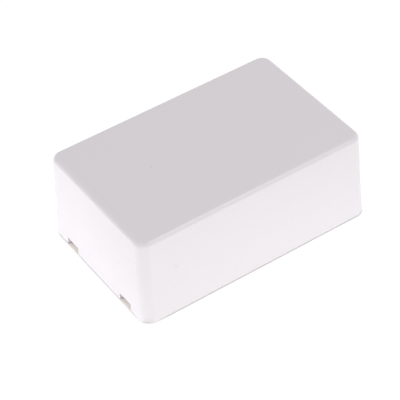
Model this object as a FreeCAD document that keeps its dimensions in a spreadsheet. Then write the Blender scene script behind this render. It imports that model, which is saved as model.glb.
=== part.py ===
import FreeCAD, Part
import os

import Sketcher

# A small junction box, moulded in two pieces. The deep cover has drafted walls, a stepped rim and two
# release notches in each short side. The flat base plate sits in the step of the rim, holds on with four
# snap tongues behind the notches, and carries four bosses for a circuit board.
# Lengths are in millimetres and angles in degrees. The origin is on the surface that the box stands on,
# under the middle of the plate. X runs along the box and Z points up.

# Driving sizes: name, value and meaning.
SIZES = (
    ("box_length", 70.0, "outer length at the rim"),
    ("box_width", 44.8, "outer width at the rim"),
    ("box_height", 26.7, "from the surface it stands on to the top"),
    ("draft_angle", 2.0, "lean of the side walls"),
    ("corner_radius", 3.0, "upright outer corners"),
    ("top_edge_radius", 1.4, "round between the top and the sides"),
    ("wall_thickness", 2.2, "side walls of the cover"),
    ("roof_thickness", 2.0, "top of the cover"),
    ("inner_corner_radius", 1.2, "upright inner corners"),
    ("inner_edge_radius", 0.8, "round under the roof"),
    ("rim_lip", 1.25, "wall left outside the step of the rim"),
    ("notch_width", 5.2, "release notch along the rim"),
    ("notch_height", 2.2, "release notch above the rim"),
    ("notch_spacing", 25.4, "between the two notches of a short side"),
    ("plate_thickness", 2.0, "base plate"),
    ("plate_standout", 0.2, "plate below the rim"),
    ("plate_clearance", 0.3, "gap between the plate's edge and the lip"),
    ("plate_chamfer", 0.3, "lower edge of the plate"),
    ("inner_clearance", 0.3, "gap between the walls and what stands on the plate"),
    ("tongue_height", 6.0, "snap tongue above the plate"),
    ("tongue_overlap", 0.9, "tongue past each side of its notch"),
    ("tongue_root", 1.5, "tongue thickness at the plate"),
    ("tongue_tip", 1.0, "tongue thickness at its end"),
    ("lead_in", 0.5, "slope at the end of a tongue or rib"),
    ("root_haunch", 0.5, "slope at the inner foot of a tongue or rib"),
    ("bead_radius", 0.4, "snap bead on a tongue"),
    ("bead_drop", 1.6, "bead below the end of its tongue"),
    ("bead_clearance", 0.1, "gap between the bead and the wall"),
    ("groove_depth", 0.3, "snap groove in the wall"),
    ("groove_end_gap", 0.4, "groove past each end of its bead"),
    ("rib_length", 36.0, "locating rib along a long side"),
    ("rib_height", 2.6, "locating rib above the plate"),
    ("rib_root", 1.4, "rib thickness at the plate"),
    ("rib_tip", 1.1, "rib thickness at its top"),
    ("boss_spacing_long", 50.0, "between board bosses along the box"),
    ("boss_spacing_short", 28.0, "between board bosses across the box"),
    ("boss_diameter", 5.0, "board boss"),
    ("boss_height", 3.5, "board boss above the plate"),
    ("pilot_diameter", 2.0, "screw hole in a boss"),
    ("pilot_depth", 4.5, "screw hole below the top of its boss"),
)

# Sizes that follow from the driving ones.
COVER_HEIGHT = "(Sizes.box_height - Sizes.plate_standout)"
STEP_DEPTH = "(Sizes.plate_thickness - Sizes.plate_standout)"
WALL_LEAN = "tan(Sizes.draft_angle * 1 deg)"
TONGUE_WIDTH = "(Sizes.notch_width + 2 * Sizes.tongue_overlap)"
BEAD_HEIGHT = "(Sizes.plate_thickness + Sizes.tongue_height - Sizes.bead_drop)"

TINY = 1e-4


def make_sheet(doc):
    """Adds the spreadsheet that holds the driving sizes."""
    sheet = doc.addObject("Spreadsheet::Sheet", "Sizes")
    for row, (name, value, meaning) in enumerate(SIZES, start=1):
        sheet.set(f"A{row}", name)
        sheet.set(f"B{row}", str(value))
        sheet.set(f"C{row}", meaning)
        sheet.setAlias(f"B{row}", name)
    doc.recompute()
    return sheet


def inner_face(half_extent, height):
    """Distance from the middle of the box to the inside of a drafted wall, at a height above the floor."""
    return f"({half_extent} - Sizes.wall_thickness - ({height} - Sizes.plate_standout) * {WALL_LEAN})"


def origin_plane(body, role):
    """One of the body's own origin planes."""
    return next(plane for plane in body.Origin.OriginFeatures if plane.Role == role)


def new_sketch(body, name, role, offset=None):
    """Adds a sketch on an origin plane, moved along the plane's normal by an offset where one is given."""
    sketch = body.newObject("Sketcher::SketchObject", name)
    sketch.AttachmentSupport = [(origin_plane(body, role), "")]
    sketch.MapMode = "FlatFace"
    if offset:
        sketch.setExpression("AttachmentOffset.Base.z", offset)
    return sketch


def bind(sketch, kind, place, size, expression):
    """Adds a dimension to a sketch and ties it to an expression over the sheet."""
    index = sketch.addConstraint(Sketcher.Constraint(kind, *place, size))
    sketch.setExpression(f"Constraints[{index}]", expression)


def draw_outline(sketch, points):
    """Draws a closed outline of straight sides through points given as pairs of expressions."""
    count = len(points)
    spots = [FreeCAD.Vector(index, index * index, 0) for index in range(count)]
    sides = []
    for index in range(count):
        side = Part.LineSegment(spots[index], spots[(index + 1) % count])
        sides.append(sketch.addGeometry(side, False))
    for index in range(count):
        following = sides[(index + 1) % count]
        sketch.addConstraint(Sketcher.Constraint("Coincident", sides[index], 2, following, 1))
    for side, spot, (across, up) in zip(sides, spots, points):
        bind(sketch, "DistanceX", (side, 1), spot.x, across)
        bind(sketch, "DistanceY", (side, 1), spot.y, up)


def draw_centred_rectangle(sketch, length, width):
    """Draws a rectangle about the sketch's origin."""
    right, top = f"({length}) / 2", f"({width}) / 2"
    left, bottom = f"-({length}) / 2", f"-({width}) / 2"
    draw_outline(sketch, [(left, bottom), (right, bottom), (right, top), (left, top)])


def draw_circle(sketch, across, up, radius):
    """Draws a circle about a point given by two expressions."""
    circle = sketch.addGeometry(Part.Circle(FreeCAD.Vector(1, 1, 0), FreeCAD.Vector(0, 0, 1), 1), False)
    bind(sketch, "DistanceX", (circle, 3), 1, across)
    bind(sketch, "DistanceY", (circle, 3), 1, up)
    bind(sketch, "Radius", (circle,), 1, radius)


def add_pad(body, name, sketch, length, side="One side"):
    """Raises a sketch."""
    pad = body.newObject("PartDesign::Pad", name)
    pad.Profile = sketch
    pad.SideType = side
    pad.setExpression("Length", length)
    body.Document.recompute()
    return pad


def add_pocket(body, name, sketch, length, side="One side", upwards=True):
    """Cuts a sketch out of the body and makes sure that the cut removed material."""
    before = body.Shape.Volume
    pocket = body.newObject("PartDesign::Pocket", name)
    pocket.Profile = sketch
    pocket.SideType = side
    pocket.Reversed = upwards
    pocket.setExpression("Length", length)
    body.Document.recompute()
    if body.Shape.Volume > before - TINY:
        raise RuntimeError(f"{name} cuts nothing")
    return pocket


def lean_walls(body, name, chosen, cavity=False):
    """Leans the chosen side faces in towards the top by the draft angle, from where they meet the rim's plane."""
    tip = body.Tip
    faces = [f"Face{index}" for index, face in enumerate(tip.Shape.Faces, start=1) if chosen(face.BoundBox)]
    draft = body.newObject("PartDesign::Draft", name)
    draft.Base = (tip, faces)
    draft.NeutralPlane = (origin_plane(body, "XY_Plane"), [""])
    draft.Reversed = cavity
    draft.setExpression("Angle", "Sizes.draft_angle")
    body.Document.recompute()
    return draft


def dress_edges(body, kind, name, chosen, size_name, size):
    """Adds a fillet or chamfer on the edges of the body's tip that a test chooses."""
    tip = body.Tip
    edges = [f"Edge{index}" for index, edge in enumerate(tip.Shape.Edges, start=1) if chosen(edge.BoundBox)]
    if not edges:
        raise RuntimeError(f"{name} finds no edges")
    feature = body.newObject(f"PartDesign::{kind}", name)
    feature.Base = (tip, edges)
    feature.setExpression(size_name, size)
    body.Document.recompute()
    return feature


def repeat_in_quarters(body, name, originals):
    """Mirrors features across the box and along it, so that each stands once in every quarter."""
    across = body.newObject("PartDesign::Mirrored", f"{name}_across")
    across.MirrorPlane = (origin_plane(body, "XZ_Plane"), [""])
    along = body.newObject("PartDesign::Mirrored", f"{name}_along")
    along.MirrorPlane = (origin_plane(body, "YZ_Plane"), [""])
    quarters = body.newObject("PartDesign::MultiTransform", name)
    quarters.Originals = originals
    quarters.Transformations = [across, along]
    body.Tip = quarters
    body.Document.recompute()
    return quarters


def mirror_across(body, name, originals):
    """Mirrors features from one long side of the box to the other."""
    mirrored = body.newObject("PartDesign::Mirrored", name)
    mirrored.Originals = originals
    mirrored.MirrorPlane = (origin_plane(body, "XZ_Plane"), [""])
    body.Tip = mirrored
    body.Document.recompute()
    return mirrored


def at_height(height):
    """A test for edges that lie flat at a height, by their bounding boxes."""
    return lambda box: box.ZLength < TINY and abs(box.ZMax - height) < TINY


def rising_to(height):
    """A test for edges or faces that rise and end at a height, by their bounding boxes."""
    return lambda box: box.ZLength > TINY and abs(box.ZMax - height) < TINY


def cut_notches(body):
    """Cuts the two release notches of each short side up from the rim, through both end walls at once."""
    sketch = new_sketch(body, "notch_openings", "YZ_Plane")
    for side in (1, -1):
        middle = f"{side} * Sizes.notch_spacing / 2"
        start, end = f"{middle} - Sizes.notch_width / 2", f"{middle} + Sizes.notch_width / 2"
        top = "Sizes.notch_height"
        draw_outline(sketch, [(start, "0"), (end, "0"), (end, top), (start, top)])
    add_pocket(body, "release_notches", sketch, "2 * Sizes.box_length", side="Symmetric")


def snap_centre():
    """Distance from the middle of the box to the axis of a snap bead, and of the groove round it."""
    face = inner_face("Sizes.box_length / 2", BEAD_HEIGHT)
    return f"{face} - Sizes.bead_clearance - Sizes.bead_radius"


def cut_snap_grooves(body):
    """Cuts the four shallow grooves in the end walls, each round its tongue's bead."""
    sketch = new_sketch(body, "groove_section", "XZ_Plane", "Sizes.notch_spacing / 2")
    radius = "Sizes.bead_radius + Sizes.bead_clearance + Sizes.groove_depth"
    draw_circle(sketch, snap_centre(), f"{BEAD_HEIGHT} - Sizes.plate_standout", radius)
    length = f"{TONGUE_WIDTH} + 2 * Sizes.groove_end_gap"
    groove = add_pocket(body, "snap_groove", sketch, length, side="Symmetric")
    repeat_in_quarters(body, "snap_grooves", [groove])


def make_cover(doc):
    """Adds the cover, a drafted shell whose own base is its rim."""
    body = doc.addObject("PartDesign::Body", "cover")
    body.Label = "cover"
    body.setExpression("Placement.Base.z", "Sizes.plate_standout")

    outline = new_sketch(body, "outer_outline", "XY_Plane")
    draw_centred_rectangle(outline, "Sizes.box_length", "Sizes.box_width")
    block = add_pad(body, "outer_block", outline, COVER_HEIGHT)
    top = block.Length.Value
    lean_walls(body, "outer_draft", rising_to(top))

    step_outline = new_sketch(body, "step_outline", "XY_Plane")
    draw_centred_rectangle(
        step_outline, "Sizes.box_length - 2 * Sizes.rim_lip", "Sizes.box_width - 2 * Sizes.rim_lip"
    )
    step = add_pocket(body, "rim_step", step_outline, STEP_DEPTH)
    step_radius = "Sizes.corner_radius - Sizes.rim_lip"
    dress_edges(body, "Fillet", "step_rounds", rising_to(step.Length.Value), "Radius", step_radius)

    cavity_outline = new_sketch(body, "cavity_outline", "XY_Plane")
    draw_centred_rectangle(
        cavity_outline,
        "Sizes.box_length - 2 * Sizes.wall_thickness",
        "Sizes.box_width - 2 * Sizes.wall_thickness",
    )
    depth = f"{COVER_HEIGHT} - Sizes.roof_thickness"
    cavity = add_pocket(body, "cavity", cavity_outline, depth)
    ceiling = cavity.Length.Value
    lean_walls(body, "inner_draft", rising_to(ceiling), cavity=True)
    dress_edges(body, "Fillet", "inner_rounds", rising_to(ceiling), "Radius", "Sizes.inner_corner_radius")
    dress_edges(body, "Fillet", "ceiling_round", at_height(ceiling), "Radius", "Sizes.inner_edge_radius")

    dress_edges(body, "Fillet", "corner_rounds", rising_to(top), "Radius", "Sizes.corner_radius")
    dress_edges(body, "Fillet", "top_round", at_height(top), "Radius", "Sizes.top_edge_radius")

    cut_notches(body)
    cut_snap_grooves(body)
    return body


def upstand_section(half_extent, height, root, tip):
    """Section of a tongue or rib that follows a drafted wall, from the plate's face to its own end."""
    foot = "Sizes.plate_thickness"
    end = f"({foot} + {height})"
    shoulder = f"({end} - Sizes.lead_in)"

    def outer(level):
        return f"{inner_face(half_extent, level)} - Sizes.inner_clearance"

    return [
        (f"{outer(foot)} - {root} - Sizes.root_haunch", foot),
        (outer(foot), foot),
        (outer(shoulder), shoulder),
        (f"{outer(end)} - Sizes.lead_in / 2", end),
        (f"{outer(end)} - {tip}", end),
        (f"{outer(foot)} - {root}", f"{foot} + Sizes.root_haunch"),
    ]


def add_tongues(body):
    """Adds the four snap tongues behind the notches, each with a bead across its outer face."""
    place = "Sizes.notch_spacing / 2"
    section = new_sketch(body, "tongue_section", "XZ_Plane", place)
    draw_outline(
        section,
        upstand_section("Sizes.box_length / 2", "Sizes.tongue_height", "Sizes.tongue_root", "Sizes.tongue_tip"),
    )
    tongue = add_pad(body, "snap_tongue", section, TONGUE_WIDTH, side="Symmetric")
    bead_section = new_sketch(body, "bead_section", "XZ_Plane", place)
    draw_circle(bead_section, snap_centre(), BEAD_HEIGHT, "Sizes.bead_radius")
    bead = add_pad(body, "snap_bead", bead_section, TONGUE_WIDTH, side="Symmetric")
    repeat_in_quarters(body, "snap_tongues", [tongue, bead])


def add_ribs(body):
    """Adds the locating rib inside each long wall."""
    section = new_sketch(body, "rib_section", "YZ_Plane")
    draw_outline(
        section, upstand_section("Sizes.box_width / 2", "Sizes.rib_height", "Sizes.rib_root", "Sizes.rib_tip")
    )
    rib = add_pad(body, "locating_rib", section, "Sizes.rib_length", side="Symmetric")
    mirror_across(body, "locating_ribs", [rib])


def add_bosses(body):
    """Adds the four bosses for a circuit board, each with a blind hole for a screw."""
    place = ("Sizes.boss_spacing_long / 2", "Sizes.boss_spacing_short / 2")
    foot = new_sketch(body, "boss_outline", "XY_Plane", "Sizes.plate_thickness")
    draw_circle(foot, *place, "Sizes.boss_diameter / 2")
    boss = add_pad(body, "board_boss", foot, "Sizes.boss_height")
    mouth = new_sketch(body, "pilot_outline", "XY_Plane", "Sizes.plate_thickness + Sizes.boss_height")
    draw_circle(mouth, *place, "Sizes.pilot_diameter / 2")
    pilot = add_pocket(body, "pilot_hole", mouth, "Sizes.pilot_depth", upwards=False)
    repeat_in_quarters(body, "board_bosses", [boss, pilot])


def make_base_plate(doc):
    """Adds the base plate, which fills the step of the cover's rim."""
    body = doc.addObject("PartDesign::Body", "base_plate")
    body.Label = "base_plate"

    inset = "(Sizes.rim_lip + Sizes.plate_clearance)"
    outline = new_sketch(body, "plate_outline", "XY_Plane")
    draw_centred_rectangle(outline, f"Sizes.box_length - 2 * {inset}", f"Sizes.box_width - 2 * {inset}")
    plate = add_pad(body, "plate", outline, "Sizes.plate_thickness")
    upper = plate.Length.Value
    dress_edges(body, "Fillet", "plate_rounds", rising_to(upper), "Radius", f"Sizes.corner_radius - {inset}")
    dress_edges(body, "Chamfer", "plate_edge", at_height(0.0), "Size", "Sizes.plate_chamfer")

    add_tongues(body)
    add_ribs(body)
    add_bosses(body)
    return body


def check(doc, pieces):
    """Stops if any object failed to build or any piece isn't one valid solid."""
    for item in doc.Objects:
        if "Invalid" in item.State or "Error" in item.State:
            raise RuntimeError(f"{item.Name} failed: {item.State}")
    for piece in pieces:
        shape = piece.Shape
        if shape.isNull() or not shape.isValid() or len(shape.Solids) != 1:
            raise RuntimeError(f"{piece.Label} isn't one valid solid")


def main():
    """Builds the box and writes one file for each piece."""
    doc = FreeCAD.newDocument("junction_box")
    make_sheet(doc)
    pieces = [make_cover(doc), make_base_plate(doc)]
    doc.recompute()
    check(doc, pieces)
    os.makedirs("parts", exist_ok=True)
    for piece in pieces:
        piece.Shape.exportStep(f"parts/{piece.Label}.step")


main()
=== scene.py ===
"""Studio scene of a small junction box: a deep moulded cover that snaps onto a flat base plate.

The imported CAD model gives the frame. Both mouldings are modelled again here from the same sizes, with the
softened edges of real moulded plastic. Each one replaces its CAD node and rides on that node's body.
"""

import logging
import math
from dataclasses import dataclass
from enum import Enum
from typing import Any

import bmesh
import bpy
from mathutils import Matrix, Vector

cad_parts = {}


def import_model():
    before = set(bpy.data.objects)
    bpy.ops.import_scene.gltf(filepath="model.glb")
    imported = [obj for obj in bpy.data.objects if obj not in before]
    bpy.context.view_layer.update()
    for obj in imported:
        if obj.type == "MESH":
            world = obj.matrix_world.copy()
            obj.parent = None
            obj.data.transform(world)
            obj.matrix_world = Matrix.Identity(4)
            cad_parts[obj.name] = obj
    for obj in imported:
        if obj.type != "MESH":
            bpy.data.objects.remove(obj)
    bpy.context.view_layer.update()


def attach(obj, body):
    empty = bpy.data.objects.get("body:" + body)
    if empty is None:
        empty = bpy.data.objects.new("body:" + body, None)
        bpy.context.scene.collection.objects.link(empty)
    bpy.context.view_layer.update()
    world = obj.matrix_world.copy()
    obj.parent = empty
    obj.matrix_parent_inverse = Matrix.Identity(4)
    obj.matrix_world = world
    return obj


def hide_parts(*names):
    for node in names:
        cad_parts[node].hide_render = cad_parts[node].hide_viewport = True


log = logging.getLogger("junction_box")

Socket = bpy.types.NodeSocket
NodeTree = bpy.types.NodeTree
Point = tuple[float, float, float]
Colour = tuple[float, float, float]
Section = list[tuple[float, float]]

WHITE: Colour = (1.0, 1.0, 1.0)

MM = 0.001
QUARTER_TURN = math.pi / 2
HALF_TURN = math.pi

# Facets of a round: along an upright corner, over an edge, round a full circle, and over a snap bead.
CORNER_STEPS = 14
EDGE_STEPS = 10
CIRCLE_STEPS = 48
BEAD_STEPS = 8

# A cutter passes this far beyond the surface that it opens, and a foot sinks this far into its plate.
OVERCUT = 1.0 * MM
SUNK = 0.4 * MM

# Points closer together than this are one point.
SAME_PLACE = 0.02 * MM

# Blender's own name for the mark on an edge that gets a round.
ROUND_MARK = "bevel_weight_edge"


class Body(Enum):
    """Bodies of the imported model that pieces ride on."""

    BASE = "base"
    COVER = "cover"


class Cut(Enum):
    """Ways of combining solids in a node tree."""

    JOIN = "UNION"
    REMOVE = "DIFFERENCE"


class Facing(Enum):
    """The direction of the box that decides which copies of a piece are turned round."""

    ALONG = "X"
    ACROSS = "Y"


@dataclass(frozen=True)
class Flow:
    """A number on its way through a node tree, with the usual arithmetic."""

    tree: "TreeBuilder"
    socket: Socket

    def __add__(self, other: "Number") -> "Flow":
        """Sum."""
        return self.tree.math("ADD", self, other)

    def __sub__(self, other: "Number") -> "Flow":
        """Difference."""
        return self.tree.math("SUBTRACT", self, other)

    def __rsub__(self, other: "Number") -> "Flow":
        """Difference from a plain number."""
        return self.tree.math("SUBTRACT", other, self)

    def __mul__(self, other: "Number") -> "Flow":
        """Product."""
        return self.tree.math("MULTIPLY", self, other)

    def __rmul__(self, other: "Number") -> "Flow":
        """Product with a plain number on the left."""
        return self.tree.math("MULTIPLY", other, self)

    def __truediv__(self, other: "Number") -> "Flow":
        """Quotient."""
        return self.tree.math("DIVIDE", self, other)

    def __mod__(self, other: "Number") -> "Flow":
        """Remainder, never negative."""
        return self.tree.math("FLOORED_MODULO", self, other)

    def __lt__(self, other: "Number") -> "Flow":
        """One where this is the smaller, and nought elsewhere."""
        return self.tree.math("LESS_THAN", self, other)

    def apply(self, operation: str) -> "Flow":
        """Result of a Math node with a single input."""
        return self.tree.math(operation, self)

    def at_most(self, limit: "Number") -> "Flow":
        """The number, or the limit if that is smaller."""
        return self.tree.math("MINIMUM", self, limit)

    def at_least(self, limit: "Number") -> "Flow":
        """The number, or the limit if that is larger."""
        return self.tree.math("MAXIMUM", self, limit)


# A plain number, or one on its way through a node tree.
Number = float | Flow


class TreeBuilder:
    """Adds nodes to a node tree and joins them up."""

    def __init__(self, tree: NodeTree) -> None:
        """Takes the tree that the nodes go into."""
        self.tree = tree

    def node(self, kind: str, feeds: dict[str, Any] | None = None, **settings: Any) -> bpy.types.Node:
        """Adds a node.

        Args:
            kind: Blender's name for the kind of node.
            feeds: a plain value, a socket or a Flow for each named input.
            **settings: properties of the node, set before its inputs.

        Returns:
            The new node.
        """
        made = self.tree.nodes.new(kind)
        for name, value in settings.items():
            setattr(made, name, value)
        for name, value in (feeds or {}).items():
            socket = next(each for each in made.inputs if each.enabled and each.name == name)
            self.feed(socket, value)
        return made

    def feed(self, socket: Socket, value: Any) -> None:
        """Links a value into a socket, or sets it there if it is plain."""
        source = value.socket if isinstance(value, Flow) else value
        if isinstance(source, Socket):
            self.tree.links.new(source, socket)
        else:
            socket.default_value = source

    def math(self, operation: str, *values: Number) -> Flow:
        """Adds a Math node.

        Args:
            operation: Blender's name for the operation.
            *values: plain numbers or Flows, in the order of the inputs.

        Returns:
            The result.
        """
        made = self.tree.nodes.new("ShaderNodeMath")
        made.operation = operation
        for socket, value in zip(made.inputs, values):
            self.feed(socket, value)
        return Flow(self, made.outputs[0])

    def vector(self, x: Number, y: Number, z: Number) -> Socket:
        """Puts three numbers together as a vector."""
        return self.node("ShaderNodeCombineXYZ", {"X": x, "Y": y, "Z": z}).outputs["Vector"]

    def parts(self, vector: Socket) -> tuple[Flow, ...]:
        """Takes a vector apart into its three numbers."""
        split = self.node("ShaderNodeSeparateXYZ", {"Vector": vector})
        return tuple(Flow(self, split.outputs[axis]) for axis in "XYZ")


def empty_tree(owner: bpy.types.Material | bpy.types.World) -> TreeBuilder:
    """Starts the node tree of a material or a world afresh."""
    owner.use_nodes = True
    owner.node_tree.nodes.clear()
    return TreeBuilder(owner.node_tree)


def mix_colours(
    tree: TreeBuilder, share: Number | Socket, first: Colour | Socket, second: Colour | Socket
) -> Socket:
    """Mixes two colours in a shader tree, by a share of the second."""
    node = tree.node("ShaderNodeMix", data_type="RGBA", blend_type="MIX")
    feeds = {"Factor_Float": share, "A_Color": first, "B_Color": second}
    for socket in node.inputs:
        if socket.identifier in feeds:
            value = feeds[socket.identifier]
            tree.feed(socket, (*value, 1.0) if isinstance(value, tuple) else value)
    return next(socket for socket in node.outputs if socket.identifier == "Result_Color")


def length_of(along: Flow, across: Flow) -> Flow:
    """Length of a flat vector from its two parts."""
    return (along * along + across * across).apply("SQRT")


def fade(tree: TreeBuilder, value: Number | Socket, span: tuple[float, float]) -> Flow:
    """Rises from nought to one as a value passes through a span."""
    low, high = span
    feeds = {"Value": value, "From Min": low, "From Max": high}
    return Flow(tree, tree.node("ShaderNodeMapRange", feeds).outputs["Result"])


def noise(tree: TreeBuilder, place: Socket, scale: float, detail: float) -> Socket:
    """Adds soft noise to a shader tree and gives its value at a place."""
    feeds = {"Vector": place, "Scale": scale, "Detail": detail}
    return tree.node("ShaderNodeTexNoise", feeds).outputs["Fac"]


class GeometryTree(TreeBuilder):
    """A Geometry Nodes tree with named inputs and one mesh as its result."""

    def __init__(self, name: str) -> None:
        """Starts an empty tree."""
        super().__init__(bpy.data.node_groups.new(name, "GeometryNodeTree"))
        self.tree.interface.new_socket("Mesh", in_out="OUTPUT", socket_type="NodeSocketGeometry")
        self.given = self.tree.nodes.new("NodeGroupInput")
        self.result = self.tree.nodes.new("NodeGroupOutput")

    def input(self, name: str, kind: str) -> Socket:
        """Adds a named input of a kind of socket and gives where its value comes from."""
        self.tree.interface.new_socket(name, in_out="INPUT", socket_type=kind)
        return self.given.outputs[name]

    def number(self, name: str) -> Flow:
        """Adds a named input for a size."""
        return Flow(self, self.input(name, "NodeSocketFloat"))

    def numbers(self, *names: str) -> list[Flow]:
        """Adds several named inputs for sizes."""
        return [self.number(name) for name in names]

    def position(self) -> tuple[Flow, ...]:
        """Place of each point, as three numbers."""
        return self.parts(self.node("GeometryNodeInputPosition").outputs["Position"])

    def group(self, tree: NodeTree, feeds: dict[str, Any]) -> Socket:
        """Uses another tree inside this one and gives its mesh."""
        return self.node("GeometryNodeGroup", feeds, node_tree=tree).outputs["Mesh"]

    def lift(self, mesh: Socket, height: Number) -> Socket:
        """Moves a mesh upwards."""
        feeds = {"Geometry": mesh, "Translation": self.vector(0.0, 0.0, height)}
        return self.node("GeometryNodeTransform", feeds).outputs["Geometry"]

    def shape_of(self, maker: Socket) -> Socket:
        """Mesh of an object that comes in through an input."""
        return self.node("GeometryNodeObjectInfo", {"Object": maker}).outputs["Geometry"]

    def rod(self, radius: Number, length: Number) -> Socket:
        """Makes an upright rod about the origin."""
        feeds = {"Vertices": CIRCLE_STEPS, "Radius": radius, "Depth": length}
        return self.node("GeometryNodeMeshCylinder", feeds, fill_type="NGON").outputs["Mesh"]

    def repeat(self, piece: Socket, points: Socket, facing: Facing) -> Socket:
        """Puts a copy of a piece on each point, turned round on the far side of the box.

        Args:
            piece: the mesh to repeat.
            points: the points that carry the copies.
            facing: the direction whose negative side gets turned copies.

        Returns:
            The copies as one plain mesh.
        """
        place = dict(zip("XYZ", self.position()))[facing.value]
        spin = self.vector(0.0, 0.0, (place < 0.0) * HALF_TURN)
        turn = self.node("FunctionNodeEulerToRotation", {"Euler": spin})
        feeds = {"Points": points, "Instance": piece, "Rotation": turn.outputs["Rotation"]}
        copies = self.node("GeometryNodeInstanceOnPoints", feeds).outputs["Instances"]
        return self.node("GeometryNodeRealizeInstances", {"Geometry": copies}).outputs["Geometry"]

    def in_quarters(self, piece: Socket, along: Number, across: Number) -> Socket:
        """Repeats a piece in the four quarters of the box, facing its two ends."""
        feeds = {"Size X": along, "Size Y": across, "Vertices X": 2, "Vertices Y": 2}
        points = self.node("GeometryNodeMeshGrid", feeds).outputs["Mesh"]
        return self.repeat(piece, points, Facing.ALONG)

    def on_both_sides(self, piece: Socket, reach: Flow) -> Socket:
        """Repeats a piece on the two long sides of the box, at a distance from its middle."""
        feeds = {
            "Count": 2,
            "Start Location": self.vector(0.0, reach * -1.0, 0.0),
            "Offset": self.vector(0.0, reach * 2.0, 0.0),
        }
        points = self.node("GeometryNodeMeshLine", feeds, mode="OFFSET").outputs["Mesh"]
        return self.repeat(piece, points, Facing.ACROSS)

    def combine(self, cut: Cut, body: Socket, *others: Socket) -> Socket:
        """Joins other solids to a body or removes them from it."""
        made = self.node("GeometryNodeMeshBoolean", operation=cut.value, solver="EXACT")
        first, second = made.inputs[0], made.inputs[1]
        self.feed(second if cut is Cut.JOIN else first, body)
        for other in others:
            self.feed(second, other)
        made.inputs["Self Intersection"].default_value = True
        return made.outputs["Mesh"]

    def finish(self, mesh: Socket) -> NodeTree:
        """Makes a mesh the tree's result and gives the tree."""
        self.feed(self.result.inputs["Mesh"], mesh)
        return self.tree

    def finish_piece(self, mesh: Socket) -> NodeTree:
        """Ends the tree of a whole piece: a plain smooth mesh with its material, its edges marked for rounds.

        The edges of the snap fit are too close together for a round, and stay sharp.

        Args:
            mesh: the whole piece.

        Returns:
            The tree.
        """
        material = self.input("Material", "NodeSocketMaterial")
        least_angle, snap_level, snap_reach = self.numbers("Least Angle", "Snap Level", "Snap Reach")
        angle = Flow(self, self.node("GeometryNodeInputMeshEdgeAngle").outputs["Unsigned Angle"])
        *_, z = self.position()
        in_snap = (z - snap_level).apply("ABSOLUTE") < snap_reach
        edge = least_angle < angle

        plain = self.node("GeometryNodeRealizeInstances", {"Geometry": mesh}).outputs["Geometry"]
        feeds = {"Geometry": plain, "Distance": SAME_PLACE}
        merged = self.node("GeometryNodeMergeByDistance", feeds).outputs["Geometry"]
        smooth = self.node("GeometryNodeSetShadeSmooth", {"Geometry": merged}).outputs["Geometry"]
        feeds = {"Geometry": smooth, "Selection": edge * in_snap, "Shade Smooth": False}
        sharp = self.node("GeometryNodeSetShadeSmooth", feeds, domain="EDGE").outputs["Geometry"]
        feeds = {"Geometry": sharp, "Name": ROUND_MARK, "Value": edge * (1.0 - in_snap)}
        marked = self.node("GeometryNodeStoreNamedAttribute", feeds, data_type="FLOAT", domain="EDGE")
        feeds = {"Geometry": marked.outputs["Geometry"], "Material": material}
        return self.finish(self.node("GeometryNodeSetMaterial", feeds).outputs["Geometry"])


def drafted_block_tree() -> NodeTree:
    """Builds the tree of a block with leaning sides, rounded corners and a rounded upper edge.

    A barrel of rings is bent into shape. Its columns go round the four corners, and its rows go up the side
    and over the edge.

    Returns:
        The tree, whose block stands on the origin.
    """
    tree = GeometryTree("drafted_block")
    length, width, height, draft, corner_radius, edge_radius = tree.numbers(
        "Length", "Width", "Height", "Draft", "Corner Radius", "Edge Radius"
    )
    corner_columns = CORNER_STEPS + 1
    columns = 4 * corner_columns
    rows = EDGE_STEPS + 1
    feeds = {"Vertices": columns, "Side Segments": rows, "Radius": 1.0, "Depth": 1.0}
    barrel = tree.node("GeometryNodeMeshCylinder", feeds, fill_type="NGON").outputs["Mesh"]
    x, y, z = tree.position()

    turn_share = (tree.math("ARCTAN2", y, x) / math.tau).apply("FRACT")
    column = (turn_share * columns).apply("ROUND") % columns
    corner = (column / corner_columns).apply("FLOOR")
    bearing = (corner + (column - corner * corner_columns) / CORNER_STEPS) * QUARTER_TURN
    diagonal = (corner + 0.5) * QUARTER_TURN

    row = ((z + 0.5) * rows).apply("ROUND")
    above_base = row.at_most(1.0)
    tilt = draft + (QUARTER_TURN - draft) * ((row - 1.0).at_least(0.0) / EDGE_STEPS)
    arc_centre = (height - edge_radius) * draft.apply("TANGENT") + edge_radius / draft.apply("COSINE")
    inset = above_base * (arc_centre - edge_radius * tilt.apply("COSINE"))
    level = above_base * (height - edge_radius + edge_radius * tilt.apply("SINE"))
    rounding = above_base * edge_radius * (draft.apply("COSINE") - tilt.apply("COSINE"))
    radius = corner_radius - rounding

    reach_x = length / 2 - inset - radius
    reach_y = width / 2 - inset - radius
    place_x = diagonal.apply("COSINE").apply("SIGN") * reach_x + radius * bearing.apply("COSINE")
    place_y = diagonal.apply("SINE").apply("SIGN") * reach_y + radius * bearing.apply("SINE")
    feeds = {"Geometry": barrel, "Position": tree.vector(place_x, place_y, level)}
    return tree.finish(tree.node("GeometryNodeSetPosition", feeds).outputs["Geometry"])


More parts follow.
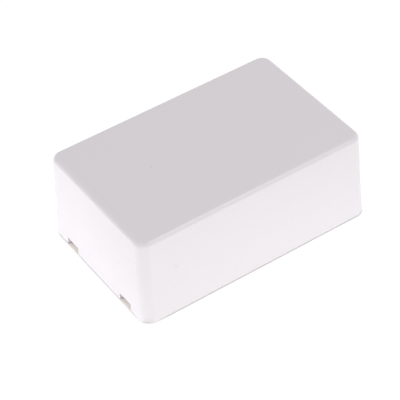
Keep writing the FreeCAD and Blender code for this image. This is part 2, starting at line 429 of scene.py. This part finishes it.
def rounded_slab_tree() -> NodeTree:
    """Builds the tree of a flat slab with rounded corners, which stands on the origin."""
    tree = GeometryTree("rounded_slab")
    length, width, thickness, corner_radius = tree.numbers("Length", "Width", "Thickness", "Corner Radius")
    sides = {"Width": length, "Height": width}
    outline = tree.node("GeometryNodeCurvePrimitiveQuadrilateral", sides, mode="RECTANGLE").outputs["Curve"]
    feeds = {"Curve": outline, "Count": CORNER_STEPS, "Radius": corner_radius}
    rounded = tree.node("GeometryNodeFilletCurve", feeds, mode="POLY").outputs["Curve"]
    sheet = tree.node("GeometryNodeFillCurve", {"Curve": rounded}, mode="NGONS").outputs["Mesh"]
    feeds = {"Mesh": sheet, "Offset Scale": thickness}
    raised = tree.node("GeometryNodeExtrudeMesh", feeds, mode="FACES").outputs["Mesh"]
    underside = tree.node("GeometryNodeFlipFaces", {"Mesh": sheet}).outputs["Mesh"]
    joined = tree.node("GeometryNodeJoinGeometry")
    for part in (raised, underside):
        tree.feed(joined.inputs["Geometry"], part)
    feeds = {"Geometry": joined.outputs["Geometry"], "Distance": SAME_PLACE}
    closed = tree.node("GeometryNodeMergeByDistance", feeds)
    return tree.finish(closed.outputs["Geometry"])


def cover_tree(block: NodeTree, slab: NodeTree) -> NodeTree:
    """Builds the tree of the cover.

    Args:
        block: the tree of a drafted block, for the outside and the cavity.
        slab: the tree of a rounded slab, for the step of the rim.

    Returns:
        The tree, whose cover has its rim at the plate's standout above the floor.
    """
    tree = GeometryTree("cover")
    length, width, height, draft = tree.numbers("Length", "Width", "Height", "Draft")
    corner_radius, edge_radius = tree.numbers("Corner Radius", "Edge Radius")
    wall, roof, inner_corner, inner_edge = tree.numbers(
        "Wall", "Roof", "Inner Corner Radius", "Inner Edge Radius"
    )
    lip, step_depth, standout = tree.numbers("Lip", "Step Depth", "Standout")
    notch_width, notch_height, notch_spacing = tree.numbers("Notch Width", "Notch Height", "Notch Spacing")
    groove_radius, groove_length, groove_reach, groove_level = tree.numbers(
        "Groove Radius", "Groove Length", "Groove Reach", "Groove Level"
    )

    outside = tree.group(
        block,
        {
            "Length": length,
            "Width": width,
            "Height": height,
            "Draft": draft,
            "Corner Radius": corner_radius,
            "Edge Radius": edge_radius,
        },
    )
    flare = 2.0 * OVERCUT * draft.apply("TANGENT")
    cavity = tree.group(
        block,
        {
            "Length": length - 2.0 * wall + flare,
            "Width": width - 2.0 * wall + flare,
            "Height": height - roof + OVERCUT,
            "Draft": draft,
            "Corner Radius": inner_corner,
            "Edge Radius": inner_edge,
        },
    )
    step = tree.group(
        slab,
        {
            "Length": length - 2.0 * lip,
            "Width": width - 2.0 * lip,
            "Thickness": step_depth + OVERCUT,
            "Corner Radius": corner_radius - lip,
        },
    )
    # The notch's cutter is centred on the foot of the outer face, and goes well through the wall.
    notch_size = tree.vector(4.0 * wall, notch_width, 2.0 * notch_height)
    notch = tree.node("GeometryNodeMeshCube", {"Size": notch_size}).outputs["Mesh"]
    notches = tree.in_quarters(notch, length, notch_spacing)

    groove_rod = tree.rod(groove_radius, groove_length)
    lying = tree.node("GeometryNodeTransform", {"Geometry": groove_rod, "Rotation": (QUARTER_TURN, 0.0, 0.0)})
    grooves = tree.in_quarters(lying.outputs["Geometry"], 2.0 * groove_reach, notch_spacing)

    shell = tree.combine(
        Cut.REMOVE,
        outside,
        tree.lift(cavity, -OVERCUT),
        tree.lift(step, -OVERCUT),
        notches,
        tree.lift(grooves, groove_level),
    )
    return tree.finish_piece(tree.lift(shell, standout))


def base_plate_tree(slab: NodeTree) -> NodeTree:
    """Builds the tree of the base plate with all that stands on it.

    Args:
        slab: the tree of a rounded slab, for the plate.

    Returns:
        The tree, whose plate lies on the floor.
    """
    tree = GeometryTree("base_plate")
    length, width, thickness, corner_radius, chamfer = tree.numbers(
        "Length", "Width", "Thickness", "Corner Radius", "Chamfer"
    )
    tongue = tree.input("Tongue", "NodeSocketObject")
    tongue_reach, tongue_spacing = tree.numbers("Tongue Reach", "Tongue Spacing")
    rib = tree.input("Rib", "NodeSocketObject")
    rib_reach = tree.number("Rib Reach")
    boss_radius, boss_height, boss_along, boss_across = tree.numbers(
        "Boss Radius", "Boss Height", "Boss Along", "Boss Across"
    )
    pilot_radius, pilot_depth = tree.numbers("Pilot Radius", "Pilot Depth")

    outline = {"Length": length, "Width": width, "Corner Radius": corner_radius}
    upper = tree.lift(tree.group(slab, {**outline, "Thickness": thickness - chamfer}), chamfer)
    lower = tree.group(slab, {**outline, "Thickness": chamfer})
    x, y, z = tree.position()
    drawn_in = tree.vector(x * (1.0 - 2.0 * chamfer / length), y * (1.0 - 2.0 * chamfer / width), z)
    at_floor = z < SAME_PLACE
    feeds = {"Geometry": lower, "Selection": at_floor, "Position": drawn_in}
    tapered = tree.node("GeometryNodeSetPosition", feeds).outputs["Geometry"]

    tongues = tree.in_quarters(tree.shape_of(tongue), 2.0 * tongue_reach, tongue_spacing)
    ribs = tree.on_both_sides(tree.shape_of(rib), rib_reach)
    bosses = tree.in_quarters(tree.rod(boss_radius, boss_height + SUNK), boss_along, boss_across)
    pilots = tree.in_quarters(tree.rod(pilot_radius, pilot_depth + OVERCUT), boss_along, boss_across)

    boss_level = thickness + (boss_height - SUNK) / 2
    solid = tree.combine(
        Cut.JOIN,
        upper,
        tapered,
        tree.lift(tongues, thickness),
        tree.lift(ribs, thickness),
        tree.lift(bosses, boss_level),
    )
    pilot_level = thickness + boss_height + (OVERCUT - pilot_depth) / 2
    drilled = tree.combine(Cut.REMOVE, solid, tree.lift(pilots, pilot_level))
    return tree.finish_piece(drilled)


def make_mesh_object(name: str, mesh: bpy.types.Mesh) -> bpy.types.Object:
    """Puts a mesh into the scene as an object at the origin."""
    made = bpy.data.objects.new(name, mesh)
    bpy.context.scene.collection.objects.link(made)
    return made


def prism(name: str, section: list[Vector], run: Vector) -> bpy.types.Object:
    """Makes a prism.

    Args:
        name: the name of its object.
        section: corners of one end, anticlockwise as seen from outside.
        run: the way from that end to the other.

    Returns:
        An object with the closed prism.
    """
    solid = bmesh.new()
    near = [solid.verts.new(corner) for corner in section]
    far = [solid.verts.new(corner + run) for corner in section]
    solid.faces.new(near)
    solid.faces.new(reversed(far))
    for index in range(len(section)):
        following = (index + 1) % len(section)
        solid.faces.new((near[following], near[index], far[index], far[following]))
    bmesh.ops.recalc_face_normals(solid, faces=solid.faces)
    mesh = bpy.data.meshes.new(name)
    solid.to_mesh(mesh)
    solid.free()
    return make_mesh_object(name, mesh)


@dataclass(frozen=True)
class EdgeSoftening:
    """The small round that moulded plastic has along every edge that the drawing leaves sharp."""

    width: float = 0.12 * MM
    steps: int = 3
    least_angle: float = math.radians(32.0)
    flat_weight: int = 100

    def add(self, piece: bpy.types.Object) -> None:
        """Rounds the marked edges of a piece, with normals that keep its flat faces flat."""
        bevel = piece.modifiers.new("softened_edges", "BEVEL")
        bevel.width = self.width
        bevel.segments = self.steps
        bevel.limit_method = "WEIGHT"
        bevel.use_clamp_overlap = False
        bevel.loop_slide = False
        bevel.miter_outer = "MITER_ARC"
        flat = piece.modifiers.new("flat_faces", "WEIGHTED_NORMAL")
        flat.mode = "FACE_AREA"
        flat.weight = self.flat_weight
        flat.keep_sharp = True


def grow_piece(
    name: str,
    tree: NodeTree,
    values: dict[str, Any],
    softening: EdgeSoftening,
    spent: tuple[bpy.types.Object, ...] = (),
) -> bpy.types.Object:
    """Runs a Geometry Nodes tree and keeps its result as a plain mesh.

    Args:
        name: the name of the piece.
        tree: the tree that makes it.
        values: a value for each named input of the tree.
        softening: the rounds along its edges.
        spent: objects that the tree reads and nothing needs afterwards.

    Returns:
        An object at the origin, with no modifiers.
    """
    maker = make_mesh_object(f"{name}_maker", bpy.data.meshes.new(f"{name}_maker"))
    modifier = maker.modifiers.new("tree", "NODES")
    modifier.node_group = tree
    for item in tree.interface.items_tree:
        if item.in_out == "INPUT":
            modifier[item.identifier] = values[item.name]
    softening.add(maker)
    depsgraph = bpy.context.evaluated_depsgraph_get()
    mesh = bpy.data.meshes.new_from_object(maker.evaluated_get(depsgraph), depsgraph=depsgraph)
    mesh.name = name
    for used in (maker, *spent):
        bpy.data.objects.remove(used)
    return make_mesh_object(name, mesh)


@dataclass(frozen=True)
class BoxSizes:
    """Sizes that both mouldings follow, in metres and radians."""

    length: float = 70.0 * MM
    width: float = 44.8 * MM
    height: float = 26.7 * MM
    draft: float = math.radians(2.0)
    corner_radius: float = 3.0 * MM
    wall: float = 2.2 * MM
    rim_lip: float = 1.25 * MM
    plate_thickness: float = 2.0 * MM
    plate_standout: float = 0.2 * MM
    notch_width: float = 5.2 * MM
    notch_spacing: float = 25.4 * MM
    tongue_height: float = 6.0 * MM
    tongue_overlap: float = 0.9 * MM
    bead_radius: float = 0.4 * MM
    bead_drop: float = 1.6 * MM
    bead_clearance: float = 0.1 * MM

    @property
    def tongue_width(self) -> float:
        """Width of a snap tongue along the rim."""
        return self.notch_width + 2.0 * self.tongue_overlap

    @property
    def bead_level(self) -> float:
        """Height of a snap bead's axis above the floor."""
        return self.plate_thickness + self.tongue_height - self.bead_drop

    @property
    def bead_reach(self) -> float:
        """Distance of a snap bead's axis from the middle of the box."""
        return self.inner_face(self.length, self.bead_level) - self.bead_clearance - self.bead_radius

    def inner_face(self, extent: float, level: float) -> float:
        """Distance from the middle of the box to the inside of a leaning wall.

        Args:
            extent: outer size of the box in that direction, at the rim.
            level: height above the floor.

        Returns:
            The distance at that height.
        """
        return extent / 2.0 - self.wall - (level - self.plate_standout) * math.tan(self.draft)


@dataclass(frozen=True)
class Speck:
    """A speck of dirt on the plastic: its place, its size and how much it takes off the colour."""

    place: Point
    radius: float
    strength: float


@dataclass(frozen=True)
class MouldedPlastic:
    """Satin white moulded plastic with a fine spark-eroded grain."""

    name: str
    colour: Colour = (0.870, 0.826, 0.866)
    cloud_colour: Colour = (0.865, 0.822, 0.860)
    roughness: float = 0.29
    roughness_spread: float = 0.05
    refraction: float = 1.53
    cloud_scale: float = 45.0
    cloud_detail: float = 3.0
    grain_scale: float = 5200.0
    grain_detail: float = 2.0
    grain_height: float = 0.006 * MM
    grain_strength: float = 0.25
    specks: tuple[Speck, ...] = ()
    speck_colour: Colour = (0.30, 0.26, 0.24)

    def make(self) -> bpy.types.Material:
        """Builds the material from nodes on Object coordinates."""
        material = bpy.data.materials.new(self.name)
        tree = empty_tree(material)
        place = tree.node("ShaderNodeTexCoord").outputs["Object"]
        clouds = noise(tree, place, self.cloud_scale, self.cloud_detail)
        grain = noise(tree, place, self.grain_scale, self.grain_detail)
        colour = mix_colours(tree, clouds, self.colour, self.cloud_colour)
        for speck in self.specks:
            colour = mix_colours(tree, self.speck_mask(tree, place, speck), colour, self.speck_colour)
        spread = {
            "Value": grain,
            "To Min": self.roughness - self.roughness_spread,
            "To Max": self.roughness + self.roughness_spread,
        }
        roughness = tree.node("ShaderNodeMapRange", spread).outputs["Result"]
        relief = {"Height": grain, "Strength": self.grain_strength, "Distance": self.grain_height}
        bump = tree.node("ShaderNodeBump", relief).outputs["Normal"]
        feeds = {"Base Color": colour, "Roughness": roughness, "Normal": bump, "IOR": self.refraction}
        shader = tree.node("ShaderNodeBsdfPrincipled", feeds)
        tree.node("ShaderNodeOutputMaterial", {"Surface": shader.outputs["BSDF"]})
        return material

    def speck_mask(self, tree: TreeBuilder, place: Socket, speck: Speck) -> Socket:
        """Share of the speck's colour at each point: full in its middle, and none outside it."""
        away = tree.node("ShaderNodeVectorMath", operation="DISTANCE")
        tree.feed(away.inputs[0], place)
        tree.feed(away.inputs[1], speck.place)
        outwards = {
            "Value": away.outputs["Value"],
            "From Min": 0.0,
            "From Max": speck.radius,
            "To Min": speck.strength,
            "To Max": 0.0,
        }
        return tree.node("ShaderNodeMapRange", outwards, interpolation_type="SMOOTHSTEP").outputs["Result"]


COVER_SPECKS = (
    Speck(place=(-15.86 * MM, 1.15 * MM, BoxSizes.height), radius=0.55 * MM, strength=0.17),
    Speck(place=(-24.49 * MM, -21.88 * MM, 15.0 * MM), radius=0.70 * MM, strength=0.13),
)
COVER_FINISH = MouldedPlastic("cover_plastic", specks=COVER_SPECKS)
BASE_FINISH = MouldedPlastic("base_plastic")


@dataclass
class Moulding:
    """What both moulded pieces have: the sizes that they follow, a finish and softened edges."""

    box: BoxSizes
    finish: MouldedPlastic
    softening: EdgeSoftening = EdgeSoftening()

    def ending(self, snap_reach: float) -> dict[str, Any]:
        """Values for the end of a piece's tree.

        Args:
            snap_reach: how far the snap fit, whose edges stay sharp, goes above and below its level.

        Returns:
            A value for each input that GeometryTree.finish_piece adds.
        """
        return {
            "Least Angle": self.softening.least_angle,
            "Snap Level": self.box.bead_level,
            "Snap Reach": snap_reach,
            "Material": self.finish.make(),
        }


@dataclass
class Cover(Moulding):
    """The deep cover: drafted walls, stepped rim, release notches and snap grooves."""

    top_edge_radius: float = 1.4 * MM
    roof: float = 2.0 * MM
    inner_corner_radius: float = 1.2 * MM
    inner_edge_radius: float = 0.8 * MM
    notch_height: float = 2.2 * MM
    groove_depth: float = 0.3 * MM
    groove_end_gap: float = 0.4 * MM

    @property
    def groove_radius(self) -> float:
        """Radius of the groove that takes a snap bead."""
        return self.box.bead_radius + self.box.bead_clearance + self.groove_depth

    def build(self, block: NodeTree, slab: NodeTree) -> bpy.types.Object:
        """Grows the moulding from its tree.

        Args:
            block: the tree of a drafted block.
            slab: the tree of a rounded slab.

        Returns:
            The finished piece.
        """
        box = self.box
        values = {
            "Length": box.length,
            "Width": box.width,
            "Height": box.height - box.plate_standout,
            "Draft": box.draft,
            "Corner Radius": box.corner_radius,
            "Edge Radius": self.top_edge_radius,
            "Wall": box.wall,
            "Roof": self.roof,
            "Inner Corner Radius": self.inner_corner_radius,
            "Inner Edge Radius": self.inner_edge_radius,
            "Lip": box.rim_lip,
            "Step Depth": box.plate_thickness - box.plate_standout,
            "Standout": box.plate_standout,
            "Notch Width": box.notch_width,
            "Notch Height": self.notch_height,
            "Notch Spacing": box.notch_spacing,
            "Groove Radius": self.groove_radius,
            "Groove Length": box.tongue_width + 2.0 * self.groove_end_gap,
            "Groove Reach": box.bead_reach,
            "Groove Level": box.bead_level - box.plate_standout,
            **self.ending(self.groove_radius),
        }
        return grow_piece("cover_moulding", cover_tree(block, slab), values, self.softening)

    def mount(self, piece: bpy.types.Object) -> None:
        """Puts the piece in its CAD node's place."""
        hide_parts("cover")
        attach(piece, Body.COVER.value)


@dataclass
class BasePlate(Moulding):
    """The flat base plate with its snap tongues, locating ribs and board bosses."""

    clearance: float = 0.3 * MM
    chamfer: float = 0.3 * MM
    inner_clearance: float = 0.3 * MM
    tongue_root: float = 1.5 * MM
    tongue_tip: float = 1.0 * MM
    lead_in: float = 0.5 * MM
    root_haunch: float = 0.5 * MM
    rib_length: float = 36.0 * MM
    rib_height: float = 2.6 * MM
    rib_root: float = 1.4 * MM
    rib_tip: float = 1.1 * MM
    boss_spacing: tuple[float, float] = (50.0 * MM, 28.0 * MM)
    boss_diameter: float = 5.0 * MM
    boss_height: float = 3.5 * MM
    pilot_diameter: float = 2.0 * MM
    pilot_depth: float = 4.5 * MM

    def upstand_section(self, height: float, root: float, tip: float, bead: bool) -> Section:
        """Section of a tongue or rib: distance out from the outer face's foot, and height above the plate.

        Args:
            height: height of the upstand.
            root: thickness at the plate.
            tip: thickness at the end.
            bead: whether a snap bead stands on the outer face.

        Returns:
            The corners, from the inner foot round by the outer face and back down the inner one.
        """
        lean = math.tan(self.box.draft)
        shoulder = height - self.lead_in
        inner_foot = -root - self.root_haunch
        corners = [(inner_foot, -SUNK), (0.0, -SUNK), (0.0, 0.0)]
        if bead:
            corners += self.bead_arc()
        corners += [
            (-shoulder * lean, shoulder),
            (-height * lean - self.lead_in / 2.0, height),
            (-height * lean - tip, height),
            (-root, self.root_haunch),
            (inner_foot, 0.0),
        ]
        return corners

    def bead_arc(self) -> Section:
        """Round of the snap bead, from below to above, in the terms of an upstand's section."""
        box = self.box
        radius = box.bead_radius
        middle = box.tongue_height - box.bead_drop
        sunk = radius + box.bead_clearance - self.inner_clearance
        centre = -middle * math.tan(box.draft) - sunk
        sweep = math.acos(sunk / radius)
        turns = [sweep * (2.0 * step / BEAD_STEPS - 1.0) - box.draft for step in range(BEAD_STEPS + 1)]
        return [(centre + radius * math.cos(turn), middle + radius * math.sin(turn)) for turn in turns]

    def make_tongue(self) -> bpy.types.Object:
        """Makes a snap tongue for the +X end, about its own middle."""
        box = self.box
        section = self.upstand_section(box.tongue_height, self.tongue_root, self.tongue_tip, bead=True)
        start = -box.tongue_width / 2.0
        corners = [Vector((out, start, up)) for out, up in section]
        return prism("tongue", corners, Vector((0.0, box.tongue_width, 0.0)))

    def make_rib(self) -> bpy.types.Object:
        """Makes a locating rib for the +Y side, about its own middle."""
        section = self.upstand_section(self.rib_height, self.rib_root, self.rib_tip, bead=False)
        start = -self.rib_length / 2.0
        corners = [Vector((start, out, up)) for out, up in section]
        return prism("rib", corners, Vector((self.rib_length, 0.0, 0.0)))

    def build(self, slab: NodeTree) -> bpy.types.Object:
        """Grows the moulding from its tree.

        Args:
            slab: the tree of a rounded slab.

        Returns:
            The finished piece.
        """
        box = self.box
        inset = box.rim_lip + self.clearance
        tongue, rib = self.make_tongue(), self.make_rib()
        values = {
            "Length": box.length - 2.0 * inset,
            "Width": box.width - 2.0 * inset,
            "Thickness": box.plate_thickness,
            "Corner Radius": box.corner_radius - inset,
            "Chamfer": self.chamfer,
            "Tongue": tongue,
            "Tongue Reach": box.inner_face(box.length, box.plate_thickness) - self.inner_clearance,
            "Tongue Spacing": box.notch_spacing,
            "Rib": rib,
            "Rib Reach": box.inner_face(box.width, box.plate_thickness) - self.inner_clearance,
            "Boss Radius": self.boss_diameter / 2.0,
            "Boss Height": self.boss_height,
            "Boss Along": self.boss_spacing[0],
            "Boss Across": self.boss_spacing[1],
            "Pilot Radius": self.pilot_diameter / 2.0,
            "Pilot Depth": self.pilot_depth,
            **self.ending(box.bead_radius),
        }
        return grow_piece("base_moulding", base_plate_tree(slab), values, self.softening, (tongue, rib))

    def mount(self, piece: bpy.types.Object) -> None:
        """Puts the piece in its CAD node's place."""
        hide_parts("base_plate")
        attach(piece, Body.BASE.value)


def add_area_lamp(
    name: str,
    size: tuple[float, float],
    power: float,
    colour: Colour,
    place: Matrix,
    in_gloss: bool,
) -> None:
    """Adds a flat rectangular lamp that the camera doesn't see.

    Args:
        name: the name of the lamp.
        size: its two sides.
        power: its power in watts.
        colour: the colour of its light.
        place: its place. It shines along its own negative Z axis.
        in_gloss: whether the gloss of the plastic shows it.
    """
    lamp = bpy.data.lights.new(name, "AREA")
    lamp.shape = "RECTANGLE"
    lamp.size, lamp.size_y = size
    lamp.energy = power
    lamp.color = colour
    holder = bpy.data.objects.new(name, lamp)
    holder.matrix_world = place
    holder.visible_camera = False
    holder.visible_glossy = in_gloss
    bpy.context.scene.collection.objects.link(holder)


@dataclass(frozen=True)
class Softbox:
    """A soft lamp that faces the box from a direction.

    Its level is how bright it makes white paper that faces it, where 1 renders as white. A narrow strip stays
    out of the gloss, where it would be a hard white line.
    """

    name: str
    direction: Point
    distance: float
    size: tuple[float, float]
    level: float
    colour: Colour = WHITE
    in_gloss: bool = True

    def set_up(self, target: Vector) -> None:
        """Puts the lamp up, turned to a point."""
        towards = Vector(self.direction).normalized()
        turn = (-towards).to_track_quat("-Z", "Y").to_matrix().to_4x4()
        place = Matrix.Translation(target + towards * self.distance) @ turn
        power = self.level * (math.pi * self.distance) ** 2
        add_area_lamp(self.name, self.size, power, self.colour, place, self.in_gloss)


@dataclass(frozen=True)
class FloorPanel:
    """A lamp that lies on the floor beside the box and shines up, as a light table does.

    Its level is the brightness of its own face, where 1 is white. In the gloss of the plastic, the floor
    shows in its place.
    """

    name: str
    low: tuple[float, float]
    high: tuple[float, float]
    level: float
    colour: Colour
    lift: float = 0.2 * MM

    def set_up(self, target: Vector) -> None:
        """Lays the lamp under a point, from its low corner to its high one."""
        length, width = (high - low for low, high in zip(self.low, self.high))
        middle = [(low + high) / 2.0 for low, high in zip(self.low, self.high)]
        centre = Vector((target.x + middle[0], target.y + middle[1], self.lift))
        place = Matrix.Translation(centre) @ Matrix.Rotation(HALF_TURN, 4, "X")
        power = self.level * math.pi * length * width
        add_area_lamp(self.name, (length, width), power, self.colour, place, in_gloss=False)


@dataclass(frozen=True)
class Viewpoint:
    """The camera's place, from the photograph's perspective."""

    aim: Point = (-3.471 * MM, -1.068 * MM, 10.141 * MM)
    azimuth: float = math.radians(-31.9003)
    elevation: float = math.radians(42.8094)
    roll: float = math.radians(-3.6956)
    distance: float = 449.837 * MM
    focal_length: float = 155.142
    sensor: float = 36.0
    nearest: float = 10.0 * MM
    farthest: float = 100.0

    def place(self) -> None:
        """Adds the camera and makes it the scene's own."""
        camera = bpy.data.cameras.new("viewpoint")
        camera.lens = self.focal_length
        camera.sensor_width = self.sensor
        camera.clip_start = self.nearest
        camera.clip_end = self.farthest
        flat = math.cos(self.elevation)
        along, across = math.sin(self.azimuth), -math.cos(self.azimuth)
        back = Vector((along * flat, across * flat, math.sin(self.elevation)))
        holder = bpy.data.objects.new("viewpoint", camera)
        upright = (-back).to_track_quat("-Z", "Y").to_matrix()
        turned = upright @ Matrix.Rotation(self.roll, 3, "Z")
        holder.matrix_world = Matrix.Translation(Vector(self.aim) + back * self.distance) @ turned.to_4x4()
        bpy.context.scene.collection.objects.link(holder)
        bpy.context.scene.camera = holder


@dataclass
class Studio:
    """A white floor with shade painted into its glow about the box, soft lamps and a surround that is
    brightest overhead.
    """

    box: BoxSizes
    lamps: tuple[Softbox | FloorPanel, ...]
    floor_size: float = 8.0
    floor_colour: Colour = (0.88, 0.87, 0.86)
    floor_glow: float = 0.8
    floor_white: float = 1.14
    # Painted shade on the floor: how far its occlusion test reaches, and with how many rays.
    painted_shade_reach: float = 3.0 * MM
    painted_shade_samples: int = 8
    # Warm colour of the painted shade in line with the notches.
    painted_shade_colour: Colour = (1.0, 0.89, 0.83)
    # Spans of openness, which is 0 in a closed corner and 1 in the open, that set the painted shade on the
    # floor.
    beside_box: tuple[float, float] = (0.15, 0.50)
    under_box: tuple[float, float] = (0.10, 0.32)
    uncovered: tuple[float, float] = (0.55, 0.75)
    # Brightness of the painted shade under the box, the soft edge of its footprint, and where the painted
    # shade fades out at the front corner.
    under_box_level: float = 0.62
    footprint_fade: float = 0.25 * MM
    front_corner_fade: tuple[float, float] = (1.5 * MM, 7.0 * MM)
    zenith_level: float = 0.89

    def build(self) -> None:
        """Sets up the floor, the lamps, the surround and the colour handling."""
        self.lay_floor()
        middle = Vector((0.0, 0.0, self.box.height / 2.0))
        for lamp in self.lamps:
            lamp.set_up(middle)
        self.light_surround()
        bpy.context.scene.view_settings.view_transform = "Standard"

    def seen_directly(self, tree: TreeBuilder) -> Flow:
        """One for rays that show the surround, straight or by a mirror or glass, and nought for the rest."""
        path = tree.node("ShaderNodeLightPath")
        rays = ("Is Camera Ray", "Is Glossy Ray", "Is Transmission Ray")
        camera, glossy, passing = (Flow(tree, path.outputs[ray]) for ray in rays)
        return camera.at_least(glossy).at_least(passing)

    def lay_floor(self) -> None:
        """Lays the floor: paper that is seen as white, with shade painted into its glow where the box closes
        it in, over the real shadow in its matt share.
        """
        half = self.floor_size / 2.0
        sheet = bpy.data.meshes.new("floor")
        corners = [(-half, -half, 0.0), (half, -half, 0.0), (half, half, 0.0), (-half, half, 0.0)]
        sheet.from_pydata(corners, [], [(0, 1, 2, 3)])
        floor = make_mesh_object("floor", sheet)
        paper = bpy.data.materials.new("floor_paper")
        tree = empty_tree(paper)
        matt = tree.node("ShaderNodeBsdfDiffuse", {"Color": (*self.floor_colour, 1.0)})
        glow = self.paper_glow_with_painted_shade(tree)
        share = self.seen_directly(tree) * self.floor_glow
        both = tree.node("ShaderNodeMixShader", {"Fac": share})
        tree.feed(both.inputs[1], matt.outputs["BSDF"])
        tree.feed(both.inputs[2], glow.outputs["Emission"])
        tree.node("ShaderNodeOutputMaterial", {"Surface": both.outputs["Shader"]})
        sheet.materials.append(paper)

    def paper_glow_with_painted_shade(self, tree: TreeBuilder) -> bpy.types.Node:
        """The paper as it is seen: white in the open, with painted shade that is grey at the box's foot and
        warm grey in its notches.

        As in the photograph, the grey line along the foot fades out at the front corner.

        Args:
            tree: the floor's material.

        Returns:
            The node that shines.
        """
        reach = {"Distance": self.painted_shade_reach}
        openness = tree.node("ShaderNodeAmbientOcclusion", reach, samples=self.painted_shade_samples).outputs["AO"]
        x, y, _ = tree.parts(tree.node("ShaderNodeTexCoord").outputs["Object"])
        # Painted shade: the glow is darkened where the paper is closed in, beside the box and under it.
        beside = fade(tree, openness, self.beside_box)
        under = fade(tree, openness, self.under_box) * self.under_box_level
        covered = self.footprint(tree, x, y) * (1.0 - fade(tree, openness, self.uncovered))
        painted_shade_amount = 1.0 - beside - covered * (under - beside)
        from_corner = length_of(x + self.box.length / 2.0, y + self.box.width / 2.0)
        # The painted shade is taken away near the front corner.
        level = 1.0 - painted_shade_amount * fade(tree, from_corner, self.front_corner_fade)
        # Painted warm shade on the paper in line with the notches.
        painted_shade_tint = mix_colours(tree, covered * self.in_notches(tree, y), WHITE, self.painted_shade_colour)
        return tree.node("ShaderNodeEmission", {"Color": painted_shade_tint, "Strength": level * self.floor_white})

    def footprint(self, tree: TreeBuilder, x: Flow, y: Flow) -> Flow:
        """Where shade is painted under the box: one under it and nought beside it, with a soft edge."""
        radius = self.box.corner_radius
        past_x = (x.apply("ABSOLUTE") - (self.box.length / 2.0 - radius)).at_least(0.0)
        past_y = (y.apply("ABSOLUTE") - (self.box.width / 2.0 - radius)).at_least(0.0)
        return 1.0 - fade(tree, length_of(past_x, past_y) - radius, (0.0, self.footprint_fade))

    def in_notches(self, tree: TreeBuilder, y: Flow) -> Flow:
        """Where the painted shade turns warm: one in line with the release notches and nought elsewhere, with
        a soft edge.
        """
        off_middle = (y.apply("ABSOLUTE") - self.box.notch_spacing / 2.0).apply("ABSOLUTE")
        return 1.0 - fade(tree, off_middle - self.box.notch_width / 2.0, (0.0, self.footprint_fade))

    def light_surround(self) -> None:
        """Lights the box from a sky that fades to nothing at the horizon, and is white where it is seen."""
        world = bpy.data.worlds.new("surround")
        tree = empty_tree(world)
        *_, height = tree.parts(tree.node("ShaderNodeTexCoord").outputs["Generated"])
        seen = self.seen_directly(tree)
        level = seen + (1.0 - seen) * height.at_least(0.0) * self.zenith_level
        glow = tree.node("ShaderNodeBackground", {"Color": (*WHITE, 1.0), "Strength": level})
        tree.node("ShaderNodeOutputWorld", {"Surface": glow.outputs["Background"]})
        bpy.context.scene.world = world


LEFT_LIGHT = (0.97, 1.0, 1.0)
RIGHT_LIGHT = (0.99, 1.0, 0.98)

# The near panels start this far from the box and end at these lines, where the far panels of the two sides
# begin.
PANEL_GAP = 0.05 * MM
LEFT_FOOT = -BoxSizes.length / 2.0 - PANEL_GAP
FRONT_FOOT = -BoxSizes.width / 2.0 - PANEL_GAP
LEFT_LINE = -60.0 * MM
FRONT_LINE = -47.0 * MM

STUDIO_LAMPS = (
    FloorPanel(
        "left_near_panel",
        low=(LEFT_LINE, FRONT_FOOT),
        high=(LEFT_FOOT, 0.2),
        level=0.88,
        colour=LEFT_LIGHT,
    ),
    FloorPanel(
        "left_far_panel",
        low=(-0.115, -0.01),
        high=(LEFT_LINE, 0.3),
        level=1.45,
        colour=LEFT_LIGHT,
    ),
    FloorPanel(
        "right_near_panel",
        low=(LEFT_FOOT, FRONT_LINE),
        high=(0.2, FRONT_FOOT),
        level=0.73,
        colour=RIGHT_LIGHT,
    ),
    FloorPanel(
        "right_far_panel",
        low=(LEFT_FOOT, -0.1),
        high=(0.08, FRONT_LINE),
        level=1.02,
        colour=RIGHT_LIGHT,
    ),
    FloorPanel(
        "corner_near_panel",
        low=(LEFT_LINE, FRONT_LINE),
        high=(LEFT_FOOT, FRONT_FOOT),
        level=0.81,
        colour=RIGHT_LIGHT,
    ),
    FloorPanel(
        "corner_far_panel",
        low=(-0.13, -0.13),
        high=(-0.05, -0.05),
        level=2.24,
        colour=RIGHT_LIGHT,
    ),
    Softbox(
        "left_strip",
        direction=(-0.95, 0.3, 0.05),
        distance=0.5,
        size=(0.7, 0.05),
        level=0.224,
        colour=LEFT_LIGHT,
        in_gloss=False,
    ),
    Softbox(
        "right_strip",
        direction=(0.9, -0.5, 0.02),
        distance=0.6,
        size=(0.5, 0.02),
        level=0.083,
        colour=RIGHT_LIGHT,
        in_gloss=False,
    ),
    Softbox(
        "front_softbox",
        direction=(0.39, -0.61, 0.75),
        distance=0.9,
        size=(0.12, 0.12),
        level=0.15,
        colour=RIGHT_LIGHT,
    ),
    Softbox("corner_softbox", direction=(-0.49, -0.26, 0.83), distance=0.9, size=(0.1, 0.1), level=0.015),
)


def main() -> None:
    """Loads the frame, builds both mouldings and the studio, and reports each piece."""
    logging.basicConfig(level=logging.INFO, format="%(name)s: %(message)s")
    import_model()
    box = BoxSizes()
    block, slab = drafted_block_tree(), rounded_slab_tree()

    cover = Cover(box, COVER_FINISH)
    cover_piece = cover.build(block, slab)
    cover.mount(cover_piece)

    base = BasePlate(box, BASE_FINISH)
    base_piece = base.build(slab)
    base.mount(base_piece)

    for piece in (cover_piece, base_piece):
        log.info("%s: %d faces", piece.name, len(piece.data.polygons))

    Studio(box, STUDIO_LAMPS).build()
    Viewpoint().place()


if __name__ == "__main__":
    main()
